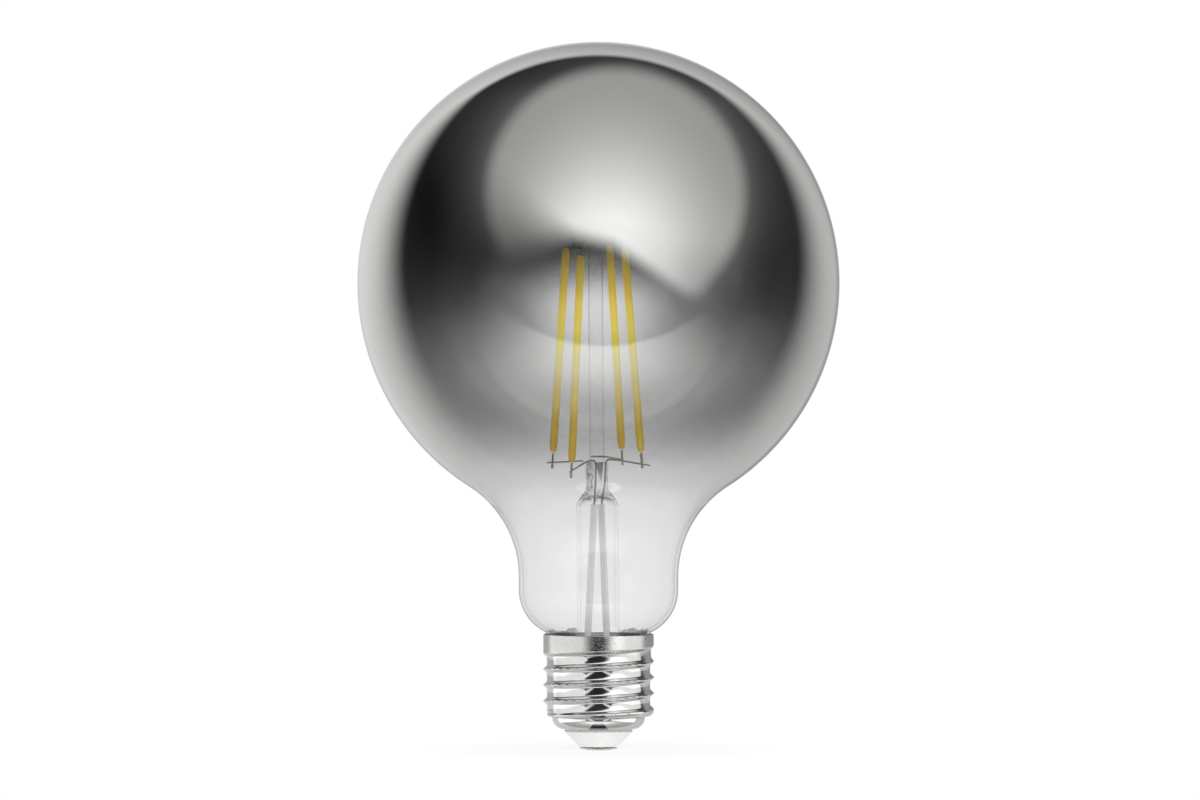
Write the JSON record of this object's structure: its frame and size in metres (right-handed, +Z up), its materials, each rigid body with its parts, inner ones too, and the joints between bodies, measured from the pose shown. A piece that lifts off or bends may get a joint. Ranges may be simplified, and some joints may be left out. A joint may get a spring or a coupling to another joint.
{
  "type": "led filament bulb",
  "caption": "Round globe lamp bulb with a flared neck, smoke-mirror glass, upright LED filaments on a glass stem, and a screw cap with a centre contact.",
  "frame": {"origin": "middle of the centre contact's flat foot, the lowest point of the bulb as it stands cap down", "axes": "+Z up the lamp's axis from the contact to the crown of the glass, +X to the right and +Y away from the viewer in the picture"},
  "size_m": [0.114, 0.114, 0.1673],
  "materials": {
    "chromed_shell": "polished, satin on the skirt",
    "white_insulator": "smooth moulded",
    "contact_metal": "dull solder-coated",
    "coated_glass": "smoke-mirror coat, heaviest at the crown",
    "cement": "baked cement",
    "clear_glass": "fire-polished, crinkled at the press",
    "sleeving": "translucent",
    "lead_metal": "drawn nickel wire",
    "green_board": "solder resist",
    "black_resin": "moulded resin",
    "capacitor_case": "shrunk sleeve",
    "copper_winding": "lacquered copper wire",
    "resistor_lacquer": "lacquered",
    "phosphor": "phosphor in silicone",
    "tab_metal": "nickel-plated strip"
  },
  "bodies": {
    "root": {"branch_wire_left": "lead_metal", "branch_wire_right": "lead_metal", "bridge_rectifier": "black_resin", "capping_cement": "cement", "centre_contact": "contact_metal", "driver_board": "green_board", "driver_chip": "black_resin", "electrolytic_capacitor": "capacitor_case", "exhaust_tube": "clear_glass", "filament_1": "phosphor", "filament_1_lower_tab": "tab_metal", "filament_1_upper_tab": "tab_metal", "filament_2": "phosphor", "filament_2_lower_tab": "tab_metal", "filament_2_upper_tab": "tab_metal", "filament_3": "phosphor", "filament_3_lower_tab": "tab_metal", "filament_3_upper_tab": "tab_metal", "filament_4": "phosphor", "filament_4_lower_tab": "tab_metal", "filament_4_upper_tab": "tab_metal", "fusible_resistor": "resistor_lacquer", "glass_globe": "coated_glass", "glass_stem": "clear_glass", "inductor": "copper_winding", "insulator": "white_insulator", "lead_sleeve_left": "sleeving", "lead_sleeve_right": "sleeving", "lead_wire_left": "lead_metal", "lead_wire_right": "lead_metal", "link_wire_lower": "lead_metal", "link_wire_upper": "lead_metal", "live_wire": "lead_metal", "neutral_wire": "lead_metal", "screw_shell": "chromed_shell", "support_rod": "clear_glass"}
  },
  "joints": []
}
